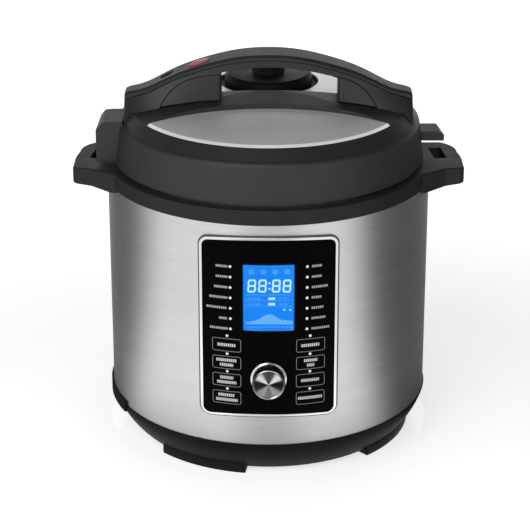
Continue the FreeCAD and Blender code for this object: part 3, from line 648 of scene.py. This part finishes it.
# ---- display ------------------------------------------------------------------------------
class Flat:
    """Thin shapes on the display's front face: x and z in millimetres."""

    def __init__(self, front, depth):
        self.front = front
        self.back = front + depth
        self.points = []
        self.faces = []

    def shape(self, outline):
        base = len(self.points)
        count = len(outline)
        self.points += [(x, self.front, z) for x, z in outline] + [(x, self.back, z) for x, z in outline]
        self.faces.append(tuple(base + i for i in range(count)))
        self.faces.append(tuple(base + count + i for i in reversed(range(count))))
        for i in range(count):
            j = (i + 1) % count
            self.faces.append((base + i, base + count + i, base + count + j, base + j))

    def rect(self, left, right, low, high):
        self.shape([(left, low), (right, low), (right, high), (left, high)])

    def disc(self, x, z, radius, count=24):
        turns = [2 * math.pi * i / count for i in range(count)]
        self.shape([(x + radius * math.cos(turn), z + radius * math.sin(turn)) for turn in turns])

    def ring(self, x, z, outer, inner, count=16):
        """Ring made of short blocks, so that each stays a plain closed shape."""
        turns = [2 * math.pi * i / count for i in range(count + 1)]
        for a, b in zip(turns, turns[1:]):
            self.shape([(x + radius * math.cos(angle), z + radius * math.sin(angle))
                        for radius, angle in ((inner, a), (outer, a), (outer, b), (inner, b))])

    def segment(self, x, z, length, width, upright, lean):
        """One stroke of a seven-segment digit, with pointed ends."""
        half, edge = length / 2, width / 2
        outline = [(-half, 0), (-half + edge, -edge), (half - edge, -edge), (half, 0), (half - edge, edge),
                   (-half + edge, edge)]
        if upright:
            outline = [(b, a) for a, b in reversed(outline)]
        self.shape([(x + a + lean * b, z + b) for a, b in outline])

    def digit(self, x, z, width, height, stroke, lean):
        """An eight: all seven segments."""
        reach = width - stroke * 0.6
        half = (height - stroke) / 2
        for level in (-1, 0, 1):
            self.segment(x + lean * level * half, z + level * half, reach, stroke, False, lean)
        for side in (-1, 1):
            middle = x + side * (width - stroke) / 2
            for rise in (-half / 2, half / 2):
                self.segment(middle + lean * rise, z + rise, half, stroke, True, lean)

    def piece(self, name, material):
        add_mesh(name, self.points, self.faces, material, "housing")


# Display layout, in millimetres.
FIGURES_PROUD, SHAPES_PROUD = 0.08, 0.06
SHAPES_SINK = 0.02
DIGIT_Z = 172.8
DIGIT_PLACES = (-13.4, -4.9, 6.0, 14.6)
DIGIT_WIDTH, DIGIT_HEIGHT, DIGIT_STROKE = 6.8, 11.2, 1.5
DIGIT_LEAN = 0.06
COLON_X, COLON_RISE = 0.6, 2.4
DOT_R = 0.8
DOTS = ((12.4, 152.3), (17.2, 152.1))
ICON_Z = 184.9
ICON_PLACES = (-13.8, -4.3, 5.2, 14.8)
ICON_OUTER, ICON_INNER = 2.1, 1.4
RULE_REACH, RULE_THICK = 18.6, 0.25
RULES = (164.9, 159.9, 155.1)
ROWS = (161.9, 157.1)
LEVEL_BAR = (-0.3, 5.2)
WORD_PLACES = (-16, -12.5, -9, 8.5, 12)
WORD_LENGTH = 2.4
CURVE_BASE = 139.6
CURVE_ENDS = (-18, 19)
SCALE_START, SCALE_PITCH, SCALE_MARK, SCALE_COUNT = -17.0, 3.1, 1.8, 12
SCALE_Z = (136.9, 137.7)


def curve_height(x):
    """A cooking curve: a hump over a low plateau that rises a little at the right."""
    step = 0.9 if x > 12 else 0.0
    return 2.1 + 6.6 * math.exp(-((x - 0.5) / 8.5) ** 2) + step


def add_display():
    """Clock digits, a row of plain icons, rules, level bars and a curve, as on a cooking display."""
    low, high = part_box("lcd_module")
    front = low.y / MM
    pale = Flat(front - FIGURES_PROUD, FIGURES_PROUD + SHAPES_SINK)
    for x in DIGIT_PLACES:
        pale.digit(x, DIGIT_Z, DIGIT_WIDTH, DIGIT_HEIGHT, DIGIT_STROKE, DIGIT_LEAN)
    for rise in (-COLON_RISE, COLON_RISE):
        pale.disc(COLON_X, DIGIT_Z + rise, DOT_R)
    for z in ROWS:
        pale.rect(*LEVEL_BAR, z - 1.0, z + 1.0)
    for x, z in DOTS:
        pale.disc(x, z, DOT_R)
    pale.piece("display_figures", DISPLAY_PALE)
    soft = Flat(front - SHAPES_PROUD, SHAPES_PROUD + SHAPES_SINK)
    for x in ICON_PLACES:
        soft.ring(x, ICON_Z, ICON_OUTER, ICON_INNER)
        soft.rect(x - 0.7, x + 0.7, ICON_Z - 0.4, ICON_Z + 0.4)
    for z in RULES:
        soft.rect(-RULE_REACH, RULE_REACH, z, z + RULE_THICK)
    for z in ROWS:
        for x in WORD_PLACES:
            soft.rect(x, x + WORD_LENGTH, z - 0.4, z + 0.4)
    left, right = CURVE_ENDS
    crest = [(x, CURVE_BASE + curve_height(x)) for x in range(right, left - 1, -1)]
    soft.shape([(left, CURVE_BASE), (right, CURVE_BASE)] + crest)
    for index in range(SCALE_COUNT):
        x = SCALE_START + index * SCALE_PITCH
        soft.rect(x, x + SCALE_MARK, *SCALE_Z)
    soft.piece("display_curve", DISPLAY_SOFT)


# ---- studio -------------------------------------------------------------------------------
# Brightness of the surroundings by azimuth from the front towards +X, in degrees.
SURROUND = ((-180, 0.9), (-152, 0.2), (-120, 0.10), (-102, 0.2), (-92, 0.38), (-82, 0.72), (-70, 1.05),
            (-50, 1.24), (-30, 1.2), (-12, 0.62), (8, 0.6), (28, 1.14), (42, 1.12), (50, 0.94), (59, 0.7),
            (67, 0.33), (76, 0.14), (88, 0.09), (140, 0.08), (154, 0.25), (180, 0.9))


def surround(tree, direction):
    """Socket with the surroundings' brightness for a direction or a place."""
    node = tree_maker(tree)
    split = node("SeparateXYZ", {0: direction})
    behind = node("Math", {0: split.outputs[1], 1: -1.0}, operation="MULTIPLY")
    angle = node("Math", {0: split.outputs[0], 1: behind.outputs[0]}, operation="ARCTAN2")
    turn = node("MapRange", {"Value": angle.outputs[0], "From Min": -math.pi, "From Max": math.pi})
    return ramped(tree, turn.outputs[0], SURROUND, "B_SPLINE")


def room(tree, direction):
    """The surroundings, darker overhead and underfoot, with a white backdrop low down behind the object."""
    node = tree_maker(tree)
    split = node("SeparateXYZ", {0: direction})
    up, back = split.outputs[2], split.outputs[1]
    high = node("MapRange", {"Value": up, "From Min": 0.35, "From Max": 0.8, "To Min": 1.0, "To Max": 0.14})
    low = node("MapRange", {"Value": up, "From Min": -0.4, "From Max": 0.0, "To Min": 0.25, "To Max": 1.0})
    level = node("Math", {0: high.outputs[0], 1: low.outputs[0]}, operation="MULTIPLY")
    shade = node("Math", {0: surround(tree, direction), 1: level.outputs[0]}, operation="MULTIPLY")
    near = node("MapRange", {"Value": up, "From Min": 0.14, "From Max": 0.26, "To Min": 1.0, "To Max": 0.0})
    far = node("MapRange", {"Value": back, "From Min": 0.5, "From Max": 0.8})
    drop = node("Math", {0: near.outputs[0], 1: far.outputs[0]}, operation="MULTIPLY")
    return node("Math", {0: shade.outputs[0], 1: drop.outputs[0]}, operation="ADD").outputs[0]


def add_ground(name, points, faces, material, drop):
    """A flat stage piece a little under the feet."""
    mesh = bpy.data.meshes.new(name)
    mesh.from_pydata(points, [], faces)
    mesh.materials.append(material)
    ground = bpy.data.objects.new(name, mesh)
    ground.location.z = cad_low.z - drop
    ground.visible_diffuse = False
    bpy.context.collection.objects.link(ground)
    return ground


FLOOR_REACH = 30.0
FLOOR_DROP, REFLECTOR_DROP = 0.0002, 0.0001
REFLECTOR_INNER, REFLECTOR_OUTER, REFLECTOR_SIDES = 0.138, 4.0, 64


def add_floor():
    """Pale floor with a light of its own, so that it stays near white and shadows on it stay soft.
    Its own light is weaker near the object, a painted shade round the base.
    """
    m = Material("studio_floor")
    x, y, z = m.split(m.place())
    m.set(Base_Color=m.mix(m.noise(3.0, 2.0), grey(0.74), grey(0.76)), Roughness=0.10)
    m.set(Specular_IOR_Level=0.6, Emission_Color=grey(1.0))
    # Painted shade: the floor's own light is weaker near the object's axis and rises from 0.28 m out to 0.6
    # m.
    m.set(Emission_Strength=m.remap(distance(m, x, y), 0.28, 0.6, 0.69, 0.86))
    corners = [(sx * FLOOR_REACH, sy * FLOOR_REACH, 0) for sx, sy in ((-1, -1), (1, -1), (1, 1), (-1, 1))]
    add_ground("floor", corners, [(0, 1, 2, 3)], m.material, FLOOR_DROP)


def add_reflector():
    """Graded disc on the floor that only reflections see; it carries the surroundings down to the base."""
    m = Material("reflector")
    x, y, z = m.split(m.place())
    radius = distance(m, x, y)
    swell = m.math("MULTIPLY", m.remap(radius, 0.20, 0.25, 0.0, 1.0), m.remap(radius, 0.28, 0.42, 0.35, 0.0))
    level = m.math("ADD", swell, m.remap(radius, 0.16, 0.22, 0.12, 1.0))
    graded = m.math("MULTIPLY", surround(m.tree, m.place()), level)
    m.set(Base_Color=grey(0.0), Roughness=1.0, Specular_IOR_Level=0.0)
    m.set(Emission_Color=graded, Emission_Strength=1.0)
    points, faces = [], []
    for i in range(REFLECTOR_SIDES):
        angle = 2 * math.pi * i / REFLECTOR_SIDES
        points += [(reach * math.cos(angle), reach * math.sin(angle), 0)
                   for reach in (REFLECTOR_INNER, REFLECTOR_OUTER)]
        a, b = 2 * i, 2 * ((i + 1) % REFLECTOR_SIDES)
        faces.append((a, a + 1, b + 1, b))
    disc = add_ground("reflector", points, faces, m.material, REFLECTOR_DROP)
    disc.visible_camera = False
    disc.visible_shadow = False
    disc.visible_transmission = False
    disc.visible_volume_scatter = False


LIGHT_PLACE = Vector((-0.8, -2.0, 1.7))
LIGHT_TARGET = Vector((0.0, 0.0, 0.15))
LIGHT_SIZE = (2.0, 1.4)
LIGHT_WATTS = 22.0


def add_key_light():
    """One large soft light, from the front, high up and a little to the left."""
    light = bpy.data.lights.new("key_light", "AREA")
    light.shape = "RECTANGLE"
    light.size, light.size_y = LIGHT_SIZE
    light.energy = LIGHT_WATTS
    holder = bpy.data.objects.new("key_light", light)
    holder.location = LIGHT_PLACE
    holder.rotation_euler = (LIGHT_TARGET - LIGHT_PLACE).to_track_quat("-Z", "Y").to_euler()
    bpy.context.collection.objects.link(holder)


def add_studio():
    """World, floor and light; the brightness round the object draws the bands on its steel."""
    world = bpy.data.worlds.new("studio")
    world.use_nodes = True
    tree = world.node_tree
    place = tree.nodes.new("ShaderNodeTexCoord").outputs["Generated"]
    tree.links.new(room(tree, place), tree.nodes["Background"].inputs["Color"])
    bpy.context.scene.world = world
    add_floor()
    add_reflector()
    add_key_light()
    bpy.context.scene.view_settings.view_transform = "Standard"


add_camera()
add_studio()
dress_frame()
for node, width in EASED.items():
    add_eased(node, width)
add_panel_print()
add_key_prints()
add_display()
